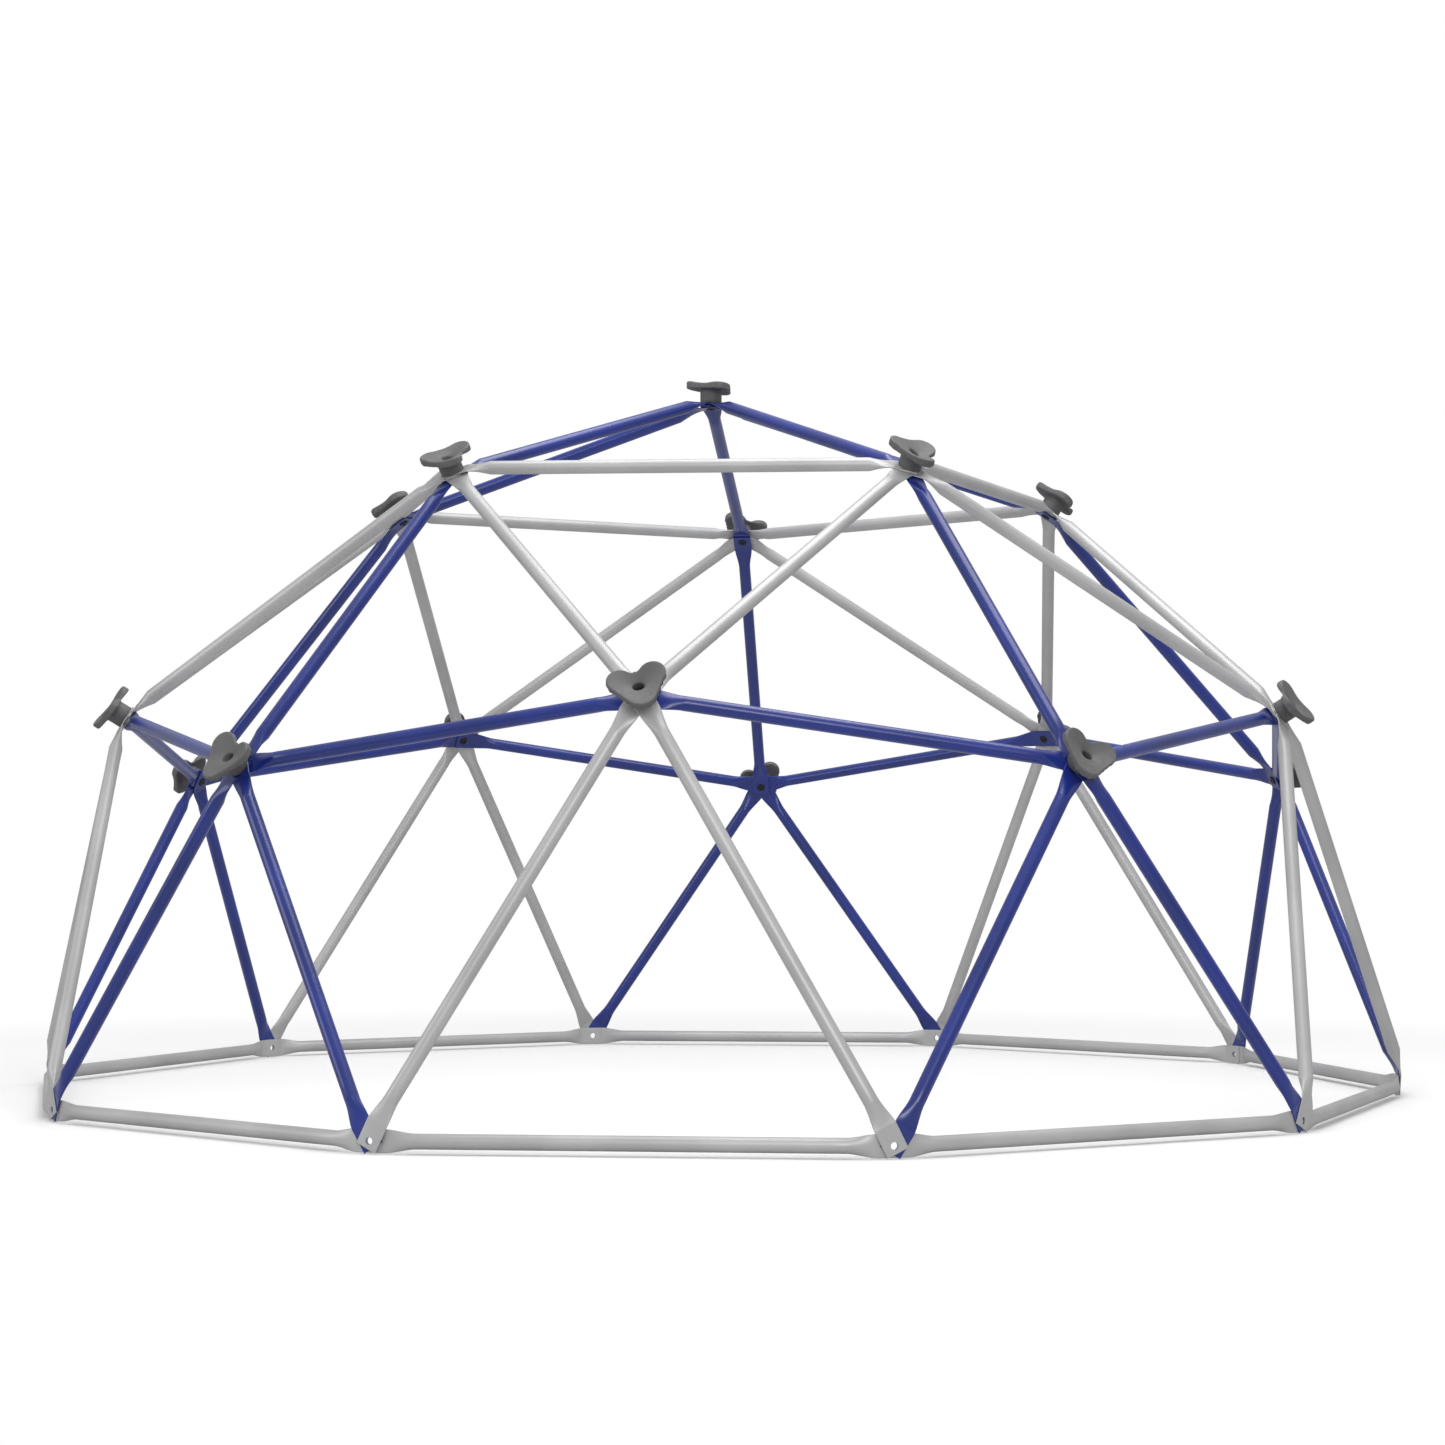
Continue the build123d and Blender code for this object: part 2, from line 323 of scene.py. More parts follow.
blackSteel = {
    "deep": (0.010, 0.010, 0.011, 1),
    "clear": (0.020, 0.020, 0.022, 1),
    "fleck": 0.1,
    "fleckColour": (0.09, 0.09, 0.09, 1),
    "rubbed": (0.12, 0.12, 0.12, 1),
    "roughness": 0.38,
    "wornRoughness": 0.2,
    "bump": 0.00003,
    "Drift Scale": 30.0,
    "Skin Scale": 500.0,
    "Amount": 0.4,
    "shader": {"Metallic": 0.5},
}


def mouldedMaterial(name, values):
    # Pebbled plastic from a textured mould, paler where it is rubbed.
    material, tree, shader, skin, scuffs = startMaterial(name, values)
    ground = mixColours(tree, skin["Drift"], values["deep"], values["clear"])
    flecks = calc(tree, "MULTIPLY", skin["Speck"], values["fleck"])
    pebbled = mixColours(tree, flecks, ground, values["rubbed"])
    rubbed = mixColours(tree, scuffs["Scuff"], pebbled, values["rubbed"])
    dusty = calc(tree, "MULTIPLY", scuffs["Dust"], values["dust"])
    dusted = mixColours(tree, dusty, rubbed, values["dustColour"])
    tree.links.new(dusted, shader.inputs["Base Color"])
    rough = calc(tree, "MULTIPLY_ADD", skin["Drift"], values["driftRoughness"], values["roughness"])
    tree.links.new(rough, shader.inputs["Roughness"])
    height = calc(tree, "MULTIPLY_ADD", skin["Speck"], values["pebble"], skin["Skin"])
    bump = put(tree, "ShaderNodeBump", {"Height": height, "Distance": values["bump"], "Strength": 1.0})
    tree.links.new(bump.outputs[0], shader.inputs["Normal"])
    return material


gripPlastic = {
    "deep": (0.098, 0.098, 0.100, 1),
    "clear": (0.128, 0.128, 0.130, 1),
    "fleck": 0.2,
    "rubbed": (0.2, 0.2, 0.2, 1),
    "dust": 0.3,
    "dustColour": (0.42, 0.42, 0.4, 1),
    "roughness": 0.5,
    "driftRoughness": 0.08,
    "pebble": 0.6,           # height of the pebbles against the fine skin
    "bump": 0.00012,
    "Drift Scale": 14.0,
    "Skin Scale": 700.0,
    "Speck Scale": 1200.0,
    "Amount": 0.5,
    "shader": {"IOR": 1.48},
}

blue = coatMaterial("blueTube", blueCoat)
silver = coatMaterial("silverTube", silverCoat)
black = coatMaterial("blackSteel", blackSteel)
plastic = mouldedMaterial("gripPlastic", gripPlastic)
print("materials made")

tubeSizes = {
    "radius": 0.014,
    "wall": 0.00118,         # a hair under half the tab pitch, so that stacked tabs stay apart
    "flatten": 0.050,        # from the bend to full round tube
    "tabEnd": 0.0195,        # hole centre to the cut end
    "tabBend": 0.031,        # hole centre to the bend
    "footEnd": 0.014,        # the same two on the lower end of a leg
    "footBend": 0.037,
    "bendRun": 0.004,        # how far the bend reaches each way
    "bendSteps": 5,
    "squeezeSteps": 14,
    "straightSteps": 24,     # rings along the round run
    "roundPoints": 48,
    "holeRadius": 0.007,
    "holePoints": 40,
    "drillPast": 0.00002,    # how far the drill stands out of the tab, both sides together
    "foldShare": 0.14,       # share of the outline in the two folded edges
    "foldAngle": math.radians(38),           # a sharper edge than this is shaded as a fold
}


def makeTubeTree():
    wanted = [
        ("Geometry", "NodeSocketGeometry"),
        ("Tube Radius", "NodeSocketFloat"),
        ("Wall", "NodeSocketFloat"),
        ("Round Points", "NodeSocketInt"),
        ("Fold Share", "NodeSocketFloat"),
        ("Hole Radius", "NodeSocketFloat"),
        ("Hole Points", "NodeSocketInt"),
        ("Material", "NodeSocketMaterial"),
    ]
    given = [("Geometry", "NodeSocketGeometry")]
    tree, start, end = newTree("pressedTube", "GeometryNodeTree", wanted, given)
    radius, wall = start["Tube Radius"], start["Wall"]

    path = put(tree, "GeometryNodeMeshToCurve", {"Mesh": start["Geometry"]}).outputs[0]
    circle = put(tree, "GeometryNodeCurvePrimitiveCircle",
                 {"Resolution": start["Round Points"], "Radius": radius}).outputs[0]
    factor = tree.nodes.new("GeometryNodeSplineParameter").outputs["Factor"]
    outline = put(tree, "GeometryNodeStoreNamedAttribute",
                  {"Geometry": circle, "Name": "around", "Value": factor}, data_type="FLOAT").outputs[0]
    position = tree.nodes.new("GeometryNodeInputPosition").outputs[0]
    centred = put(tree, "GeometryNodeStoreNamedAttribute",
                  {"Geometry": path, "Name": "centre", "Value": position},
                  data_type="FLOAT_VECTOR").outputs[0]
    skin = put(tree, "GeometryNodeCurveToMesh",
               {"Curve": centred, "Profile Curve": outline, "Fill Caps": True}).outputs[0]

    around = named(tree, "around", "FLOAT")
    angle = calc(tree, "MULTIPLY", around, 2 * math.pi)
    roundX = calc(tree, "MULTIPLY", calc(tree, "COSINE", angle), radius)
    roundY = calc(tree, "MULTIPLY", calc(tree, "SINE", angle), radius)
    side = calc(tree, "MULTIPLY_ADD", calc(tree, "PINGPONG", around, 0.5), -4.0, 1.0)
    onFlat = calc(tree, "SUBTRACT", 1.0, start["Fold Share"])
    reach = calc(tree, "DIVIDE", calc(tree, "ABSOLUTE", side), onFlat)
    past = calc(tree, "DIVIDE", calc(tree, "MAXIMUM", calc(tree, "SUBTRACT", reach, 1.0), 0.0),
                calc(tree, "SUBTRACT", calc(tree, "DIVIDE", 1.0, onFlat), 1.0))
    fold = calc(tree, "MULTIPLY", past, math.pi / 2)
    straight = calc(tree, "MULTIPLY", calc(tree, "SUBTRACT", radius, wall), math.pi / 2)
    flatReach = calc(tree, "MULTIPLY_ADD", calc(tree, "MINIMUM", reach, 1.0), straight,
                     calc(tree, "MULTIPLY", calc(tree, "SINE", fold), wall))
    flatX = calc(tree, "MULTIPLY", flatReach, calc(tree, "SIGN", side))
    flatY = calc(tree, "MULTIPLY", calc(tree, "MULTIPLY", calc(tree, "COSINE", fold), wall),
                 calc(tree, "SIGN", roundY))
    across = mixed(tree, named(tree, "spread", "FLOAT"), roundX, flatX)
    upward = mixed(tree, named(tree, "pressed", "FLOAT"), roundY, flatY)
    place = vectorCalc(tree, "ADD", named(tree, "centre", "FLOAT_VECTOR"),
                       vectorCalc(tree, "ADD", scaled(tree, named(tree, "across", "FLOAT_VECTOR"), across),
                                  scaled(tree, named(tree, "upward", "FLOAT_VECTOR"), upward)))
    pressed = put(tree, "GeometryNodeSetPosition", {"Geometry": skin, "Position": place}).outputs[0]

    depth = calc(tree, "MULTIPLY_ADD", wall, 2.0, tubeSizes["drillPast"])
    drill = put(tree, "GeometryNodeMeshCylinder",
                {"Vertices": start["Hole Points"], "Radius": start["Hole Radius"], "Depth": depth}).outputs[0]
    spots = put(tree, "GeometryNodeMeshToPoints",
                {"Mesh": start["Geometry"], "Selection": named(tree, "isHole", "BOOLEAN")}).outputs[0]
    aim = put(tree, "FunctionNodeAlignRotationToVector",
              {"Vector": named(tree, "upward", "FLOAT_VECTOR")}, axis="Z")
    drills = put(tree, "GeometryNodeInstanceOnPoints",
                 {"Points": spots, "Instance": drill, "Rotation": aim.outputs[0]}).outputs[0]
    cutters = put(tree, "GeometryNodeRealizeInstances", {"Geometry": drills}).outputs[0]
    drilled = put(tree, "GeometryNodeMeshBoolean", {"Mesh 1": pressed, "Mesh 2": cutters},
                  operation="DIFFERENCE", solver="EXACT").outputs[0]
    for name in ("around", "centre", "across", "upward", "spread", "isHole"):
        drilled = put(tree, "GeometryNodeRemoveAttribute", {"Geometry": drilled, "Name": name}).outputs[0]
    whole = put(tree, "GeometryNodeRealizeInstances", {"Geometry": drilled}).outputs[0]
    painted = put(tree, "GeometryNodeSetMaterial", {"Geometry": whole, "Material": start["Material"]})
    tree.links.new(painted.outputs[0], end["Geometry"])
    return tree


def eased(share):
    return share * (1 + share * (3 - 2 * share)) / 2


def endRows(hole, tabWay, axisWay, outward, across, toEnd, toBend):
    # Path of one tube end from the cut to full round: (point, upward, spread, pressed).
    bend = hole + tabWay * toBend
    run = tubeSizes["bendRun"]
    axisUp = across.cross(axisWay).normalized()
    axisUp = axisUp if axisUp.dot(outward) > 0 else -axisUp
    rows = [(hole - tabWay * toEnd, outward, 1.0, 1.0)]
    for step in range(tubeSizes["bendSteps"]):
        share = step / (tubeSizes["bendSteps"] - 1)
        point = (bend - tabWay * run).lerp(bend, share).lerp(bend.lerp(bend + axisWay * run, share), share)
        part = share * run / tubeSizes["flatten"]
        rows.append((point, outward.lerp(axisUp, share).normalized(), 1 - eased(part), 1 - part))
    for step in range(1, tubeSizes["squeezeSteps"] + 1):
        first = run / tubeSizes["flatten"]
        part = first + (1 - first) * step / tubeSizes["squeezeSteps"]
        rows.append((bend + axisWay * (part * tubeSizes["flatten"]), axisUp, 1 - eased(part), 1 - part))
    return rows


def tubeRows(start, startTab, finish, finishTab, startEnd, finishEnd):
    holeA, holeB = tabCentre(start, startTab), tabCentre(finish, finishTab)
    outA, outB = start[0], finish[0]
    wayA = (outB - outA * outA.dot(outB)).normalized()
    wayB = (outA - outB * outA.dot(outB)).normalized()
    across = outA.cross(outB).normalized()
    axis = (holeB + wayB * finishEnd[1] - holeA - wayA * startEnd[1]).normalized()
    near = endRows(holeA, wayA, axis, outA, across, *startEnd)
    far = endRows(holeB, wayB, -axis, outB, across, *finishEnd)
    pieces = tubeSizes["straightSteps"]
    straight = [(near[-1][0].lerp(far[-1][0], step / pieces), near[-1][1], 0.0, 0.0)
                for step in range(1, pieces)]
    return near + straight + far[::-1], across, [(holeA, outA), (holeB, outB)]


def pathMesh(name, tubes):
    # Centre lines as edges and hole centres as loose points, with what the tree reads on each.
    points, edges = [], []
    data = {"across": [], "upward": [], "spread": [], "pressed": [], "isHole": []}
    for rows, across, holes in tubes:
        first = len(points)
        edges += [(first + index, first + index + 1) for index in range(len(rows) - 1)]
        rows = rows + [(hole, outward, 0.0, 0.0) for hole, outward in holes]
        for index, (point, upward, spread, pressed) in enumerate(rows):
            points.append(point)
            data["across"].append(across)
            data["upward"].append(upward)
            data["spread"].append(spread)
            data["pressed"].append(pressed)
            data["isHole"].append(index >= len(rows) - len(holes))
    mesh = bpy.data.meshes.new(name)
    mesh.from_pydata(points, edges, [])
    for key, kind, field in (("across", "FLOAT_VECTOR", "vector"), ("upward", "FLOAT_VECTOR", "vector"),
                             ("spread", "FLOAT", "value"), ("pressed", "FLOAT", "value"),
                             ("isHole", "BOOLEAN", "value")):
        attribute = mesh.attributes.new(key, kind, "POINT")
        for item, value in zip(attribute.data, data[key]):
            setattr(item, field, value)
    return mesh


tubeTree = makeTubeTree()
tabEnd = (tubeSizes["tabEnd"], tubeSizes["tabBend"])
footEnd = (tubeSizes["footEnd"], tubeSizes["footBend"])


def makeTubes(name, node, material, slot, tubes):
    piece = newPiece(name, pathMesh(name, tubes))
    grow(piece, tubeTree, {
        "Tube Radius": tubeSizes["radius"],
        "Wall": tubeSizes["wall"],
        "Round Points": tubeSizes["roundPoints"],
        "Fold Share": tubeSizes["foldShare"],
        "Hole Radius": tubeSizes["holeRadius"],
        "Hole Points": tubeSizes["holePoints"],
        "Material": material,
    })
    piece.data.polygons.foreach_set("use_smooth", [True] * len(piece.data.polygons))
    piece.data.set_sharp_from_angle(angle=tubeSizes["foldAngle"])
    settle(piece, slot, node)
    return piece


for bay in range(dome["bays"]):
    rib, nextRib = ribJoint(bay), ribJoint(bay + 1)
    upper, nextUpper = upperJoint(bay), upperJoint(bay + 1)
    brace = braceJoint(bay)
    feet = [groundJoint(2 * bay + number) for number in (-1, 0, 1, 2)]
    families = (
        ("apexStrut", "apex_strut", blue, "blue_tube",
         [(apexJoint(), f"apex{bay}", upper, "apex", tabEnd, tabEnd)]),
        ("upperRib", "upper_rib", blue, "blue_tube", [(upper, "rib", rib, "rib", tabEnd, tabEnd)]),
        ("beltPair", "belt_pair", blue, "blue_tube",
         [(rib, "beltRight", brace, "beltLeft", tabEnd, tabEnd),
          (nextRib, "beltLeft", brace, "beltRight", tabEnd, tabEnd)]),
        ("ribLegPair", "rib_leg_pair", blue, "blue_tube",
         [(rib, "legLeft", feet[0], "ribLeg", tabEnd, footEnd),
          (rib, "legRight", feet[1], "ribLeg", tabEnd, footEnd)]),
        ("crownStrut", "crown_strut", silver, "silver_tube",
         [(upper, "crownRight", nextUpper, "crownLeft", tabEnd, tabEnd)]),
        ("upperBracePair", "upper_brace_pair", silver, "silver_tube",
         [(upper, "braceRight", brace, "braceLeft", tabEnd, tabEnd),
          (nextUpper, "braceLeft", brace, "braceRight", tabEnd, tabEnd)]),
        ("braceLegPair", "brace_leg_pair", silver, "silver_tube",
         [(brace, "legLeft", feet[1], "braceLeg", tabEnd, footEnd),
          (brace, "legRight", feet[2], "braceLeg", tabEnd, footEnd)]),
        ("groundPair", "ground_pair", silver, "silver_tube",
         [(feet[0], "groundRight", feet[1], "groundLeft", tabEnd, tabEnd),
          (feet[1], "groundRight", feet[2], "groundLeft", tabEnd, tabEnd)]),
    )
    for family, node, material, slot, tubes in families:
        rows = [tubeRows(*tube) for tube in tubes]
        makeTubes(f"{family}_{bay + 1}", f"{node}_{bay + 1}", material, slot, rows)
print("tubes made")


def turnedMesh(name, stations, sides, material):
    # A closed ring of stations swept round Z; a station gives radius and height at each angle.
    points, faces = [], []
    for step in range(sides):
        angle = 2 * math.pi * step / sides
        for station in stations:
            radius, height = station(angle) if callable(station) else station
            points.append((radius * math.cos(angle), radius * math.sin(angle), height))
    count = len(stations)
    for step in range(sides):
        after = (step + 1) % sides
        for index in range(count - 1):
            faces.append((step * count + index, after * count + index,
                          after * count + index + 1, step * count + index + 1))
    mesh = bpy.data.meshes.new(name)
    mesh.from_pydata(points, [], faces)
    mesh.materials.append(material)
    return mesh


def weldAndPoint(mesh, sharpAngle):
    shape = bmesh.new()
    shape.from_mesh(mesh)
    bmesh.ops.remove_doubles(shape, verts=shape.verts, dist=1e-6)
    bmesh.ops.dissolve_degenerate(shape, dist=1e-7, edges=shape.edges)
    bmesh.ops.recalc_face_normals(shape, faces=shape.faces)
    shape.to_mesh(mesh)
    shape.free()
    mesh.polygons.foreach_set("use_smooth", [True] * len(mesh.polygons))
    mesh.set_sharp_from_angle(angle=math.radians(sharpAngle))


handholdSizes = {
    "boss": 0.024,
    "bossHeight": 0.029,
    "bore": 0.007,
    "seat": 0.008,
    "recess": 0.011,
    "mouth": 0.031,
    "tip": 0.060,            # centre to the end of a lobe
    "lobe": 0.0265,          # a lobe's own radius
    "deepNotch": 0.033,      # centre to the bottom of the notch at angle 0
    "notch": 0.0415,         # the same for the two shallow ones
    "shorter": 0.09,         # how much less the lobe opposite the deep notch reaches
    "edgeLow": 0.0295,       # underside and top of the plate at the end of a lobe
    "edgeHigh": 0.0467,
    "slant": 0.007,          # the lobe opposite the deep notch stands this much higher
    "dishSlant": 0.0035,     # how much more the dish leans round the bolt's recess
    "corner": 0.0036,        # rounding of the rim's two edges
    "bossEdge": 0.0008,      # small chamfer at the foot of the boss, and its flare under the plate
    "underStart": 0.003,     # where the underside leaves the boss, and the dish the recess
    "dishStart": 0.0015,
    "dishCurve": 0.8,        # under 1, the dish rises fastest by the recess
    "leanFade": 1.5,         # how fast the extra lean fades away from the recess
    "mouthEdge": ((0.0004, 0.0005), (0.0014, 0.0)),      # drop and widening down the recess's mouth
    "bossRings": (0.35, 0.7, 0.93),          # shares of the boss's height
    "underRings": 6,
    "dishRings": 12,
    "rimTurn": 75,           # degrees of rounding on each of the rim's edges, and between two rings
    "rimStep": 15,
    "ripple": 0.0009,        # finger ripples in the lower half of the rim
    "ripples": 21,
    "sides": 168,
    "sharpAngle": 50,        # degrees; edges sharper than this stay crisp
}


def edgeReach(angle):
    # Distance from the bolt to the lobed edge, from one lobe arc and the hollow arc that touches it.
    sizes = handholdSizes
    third = math.pi / 3
    angle = (angle + math.pi) % (2 * math.pi) - math.pi
    notch = sizes["deepNotch"] if abs(angle) < third else sizes["notch"]
    fromNotch = abs((angle + third) % (2 * third) - third)
    fromTip = third - fromNotch
    centre = sizes["tip"] - sizes["lobe"]
    hollow = notch**2 + centre**2 - notch * centre - sizes["lobe"]**2
    hollow /= 2 * sizes["lobe"] - 2 * notch + centre
    hollowCentre = notch + hollow
    share = sizes["lobe"] / (sizes["lobe"] + hollow)
    touchX = centre + share * (hollowCentre * math.cos(third) - centre)
    touchY = share * hollowCentre * math.sin(third)
    if fromTip < math.atan2(touchY, touchX):
        reach = centre * math.cos(fromTip) + math.sqrt(sizes["lobe"]**2 - (centre * math.sin(fromTip))**2)
    else:
        offLine = hollowCentre * math.sin(fromNotch)
        reach = hollowCentre * math.cos(fromNotch) - math.sqrt(hollow**2 - offLine**2)
    if abs(angle) > 2 * third:
        reach *= 1 - sizes["shorter"] * (1 - math.cos(3 * angle)) / 2
    return reach


def gripHeights(reach, angle):
    # Underside and dish of the plate at a distance from the bolt, both leaning towards the deep notch.
    sizes = handholdSizes
    low = max(0.0, (reach - sizes["boss"]) / (sizes["tip"] - sizes["boss"]))
    high = max(0.0, (reach - sizes["recess"]) / (sizes["tip"] - sizes["recess"]))
    under = sizes["bossHeight"] + (sizes["edgeLow"] - sizes["bossHeight"]) * low
    dish = sizes["mouth"] + (sizes["edgeHigh"] - sizes["mouth"]) * high**sizes["dishCurve"]
    lean = -math.cos(angle)
    under += sizes["slant"] * lean * low
    dish += sizes["slant"] * lean * reach / sizes["tip"]
    dish += sizes["dishSlant"] * lean * max(0.0, 1 - high)**sizes["leanFade"]
    return under, dish


def gripStations():
    sizes = handholdSizes

    def plate(share, top):
        def station(angle):
            edge = edgeReach(angle) - sizes["corner"]
            inner = sizes["recess"] + sizes["dishStart"] if top else sizes["boss"] + sizes["underStart"]
            reach = inner + (edge - inner) * share
            return reach, gripHeights(reach, angle)[1 if top else 0]
        return station

    def rimPoint(turn, top):
        def station(angle):
            corner = sizes["corner"]
            edge = edgeReach(angle)
            height = gripHeights(edge - corner, angle)[1 if top else 0]
            middle = height - corner if top else height + corner
            wave = 0 if top else sizes["ripple"] * math.cos(sizes["ripples"] * angle) * math.cos(turn)
            return edge - corner + corner * math.cos(turn) + wave, middle + corner * math.sin(turn)
        return station

    def mouthPoint(drop, wider):
        def station(angle):
            reach = sizes["recess"] + wider
            return reach, gripHeights(reach, angle)[1] - drop
        return station

    edge = sizes["bossEdge"]
    underRings, dishRings = sizes["underRings"], sizes["dishRings"]
    rimTurn, rimStep = sizes["rimTurn"], sizes["rimStep"]
    stations = [(sizes["bore"], 0.0), (sizes["boss"] - edge, 0.0), (sizes["boss"], edge)]
    stations += [(sizes["boss"], sizes["bossHeight"] * share) for share in sizes["bossRings"]]
    stations += [(sizes["boss"] + edge, sizes["bossHeight"] - 0.75 * edge)]
    stations += [plate(ring / underRings, False) for ring in range(underRings + 1)]
    stations += [rimPoint(math.radians(turn), False) for turn in range(-rimTurn, 1, rimStep)]
    stations += [rimPoint(math.radians(turn), True) for turn in range(0, rimTurn + 1, rimStep)]
    stations += [plate(1 - ring / dishRings, True) for ring in range(dishRings + 1)]
    stations += [mouthPoint(drop, wider) for drop, wider in sizes["mouthEdge"]]
    stations += [(sizes["recess"], sizes["seat"]), (sizes["bore"], sizes["seat"]), (sizes["bore"], 0.0)]
    return stations


gripMesh = turnedMesh("handhold", gripStations(), handholdSizes["sides"], plastic)
weldAndPoint(gripMesh, handholdSizes["sharpAngle"])

fastenerSizes = {
    "thread": 0.005,         # the bolt's radius, which the washer and the nut go round
    "socket": 0.0034,        # corner radius of the hexagon in the bolt and in the nut
    "sides": 48,
    "sharpAngle": 40,
    "looseTurn": math.pi / 3,                # most that one fastener is turned against the next
}


def hexStation(height, corner):
    def station(angle):
        flat = math.pi / 3
        return corner * math.cos(flat / 2) / math.cos((angle % flat) - flat / 2), height
    return station


washerSizes = {
    "radius": 0.010,
    "height": 0.002,
    "play": 0.0002,          # round the bolt's thread
    "edge": 0.0003,
}


def washerStations():
    sizes = washerSizes
    low = handholdSizes["seat"]
    high = low + sizes["height"]
    outer, inner, edge = sizes["radius"], fastenerSizes["thread"] + sizes["play"], sizes["edge"]
    return [(inner, low), (outer - edge, low), (outer, low + edge), (outer, high - edge),
            (outer - edge, high), (inner, high), (inner, low)]


boltSizes = {
    "tip": -0.010,           # height of the bolt's end
    "tipChamfer": 0.001,
    "head": 0.0095,
    "headHeight": 0.0055,
    "chamfer": 0.0004,
    "crown": 0.0012,         # height of the head's straight side
    "crownRings": 7,
    "crownTurn": 15 * 0.93,  # degrees between two rings
    "crownCurve": 0.75,
    "crownTop": 0.52,        # share of the head's radius that is flat on top
    "socketEdge": 0.0003,
    "socketDepth": 0.003,
}


def boltStations():
    sizes = boltSizes
    chamfer, crown, head = sizes["chamfer"], sizes["crown"], sizes["head"]
    tip, tipChamfer = sizes["tip"], sizes["tipChamfer"]
    thread, socket = fastenerSizes["thread"], fastenerSizes["socket"]
    low = handholdSizes["seat"] + washerSizes["height"]
    high = low + sizes["headHeight"]
    floor = high - sizes["socketDepth"]
    stations = [(0, tip), (thread - tipChamfer, tip), (thread, tip + tipChamfer), (thread, low)]
    stations += [(head - chamfer, low), (head, low + chamfer)]
    for ring in range(sizes["crownRings"]):
        turn = math.radians(ring * sizes["crownTurn"])
        rise = (sizes["headHeight"] - crown) * math.sin(turn)
        stations.append((head * math.cos(turn)**sizes["crownCurve"], low + crown + rise))
    stations += [(head * sizes["crownTop"], high), (socket + chamfer, high)]
    stations += [hexStation(high - sizes["socketEdge"], socket), hexStation(floor, socket), (0, floor)]
    return stations


nutSizes = {
    "sleeve": 0.0067,
    "sleeveReach": 0.006,
    "sleeveEdge": 0.0005,
    "play": 0.0001,          # round the bolt's thread
    "tipRoom": 0.001,        # how far the bore goes on past the bolt's tip
    "head": 0.010,
    "headHeight": 0.003,
    "headCurve": ((0.66, 0.0), (0.84, 0.0005), (0.95, 0.0012), (1.0, 0.0021)),   # share of the radius, rise
    "edge": 0.0003,
    "socketEdge": 0.0002,
    "socketDepth": 0.0016,
}


def nutStations(stackHeight):
    sizes = nutSizes
    socket, head, sleeve, edge = fastenerSizes["socket"], sizes["head"], sizes["sleeve"], sizes["edge"]
    face = -stackHeight
    low = face - sizes["headHeight"]
    bore = fastenerSizes["thread"] + sizes["play"]
    floor = low + sizes["socketDepth"]
    boreEnd = boltSizes["tip"] - sizes["tipRoom"]
    reach, sleeveEdge = sizes["sleeveReach"], sizes["sleeveEdge"]
    stations = [(0, floor), hexStation(floor, socket), hexStation(low + sizes["socketEdge"], socket)]
    stations += [(socket + edge, low)]
    stations += [(head * share, low + rise) for share, rise in sizes["headCurve"]]
    stations += [(head, face - edge), (head - edge, face), (sleeve, face)]
    stations += [(sleeve, reach - sleeveEdge), (sleeve - sleeveEdge, reach), (bore, reach)]
    stations += [(bore, boreEnd), (0, boreEnd)]
    return stations


def makeSeatTree():
    # Sets a shape on each joint point, standing along the point's outward way.
    wanted = [
        ("Geometry", "NodeSocketGeometry"),
        ("Shape", "NodeSocketObject"),
        ("Loose Turn", "NodeSocketFloat", 0.0),
        ("Seed", "NodeSocketInt", 4),
        ("Material", "NodeSocketMaterial"),
    ]
    given = [("Geometry", "NodeSocketGeometry")]
    tree, start, end = newTree("shapeOnJoint", "GeometryNodeTree", wanted, given)
    points = put(tree, "GeometryNodeMeshToPoints", {"Mesh": start["Geometry"]}).outputs[0]
    shape = put(tree, "GeometryNodeObjectInfo", {"Object": start["Shape"]}).outputs["Geometry"]
    stand = put(tree, "FunctionNodeAxesToRotation",
                {"Primary Axis": named(tree, "outward", "FLOAT_VECTOR"),
                 "Secondary Axis": named(tree, "level", "FLOAT_VECTOR")},
                primary_axis="Z", secondary_axis="X").outputs[0]
    spin = put(tree, "FunctionNodeRandomValue", {"Max": start["Loose Turn"], "Seed": start["Seed"]},
               data_type="FLOAT")
    turned = put(tree, "ShaderNodeCombineXYZ", {"Z": spin.outputs[1]}).outputs[0]
    euler = put(tree, "FunctionNodeEulerToRotation", {0: turned}).outputs[0]
    whole = put(tree, "FunctionNodeRotateRotation",
                {"Rotation": stand, "Rotate By": euler}, rotation_space="LOCAL").outputs[0]
    placed = put(tree, "GeometryNodeInstanceOnPoints",
                 {"Points": points, "Instance": shape, "Rotation": whole}).outputs[0]
    real = put(tree, "GeometryNodeRealizeInstances", {"Geometry": placed}).outputs[0]
    painted = put(tree, "GeometryNodeSetMaterial", {"Geometry": real, "Material": start["Material"]})
    tree.links.new(painted.outputs[0], end["Geometry"])
    return tree


seatTree = makeSeatTree()


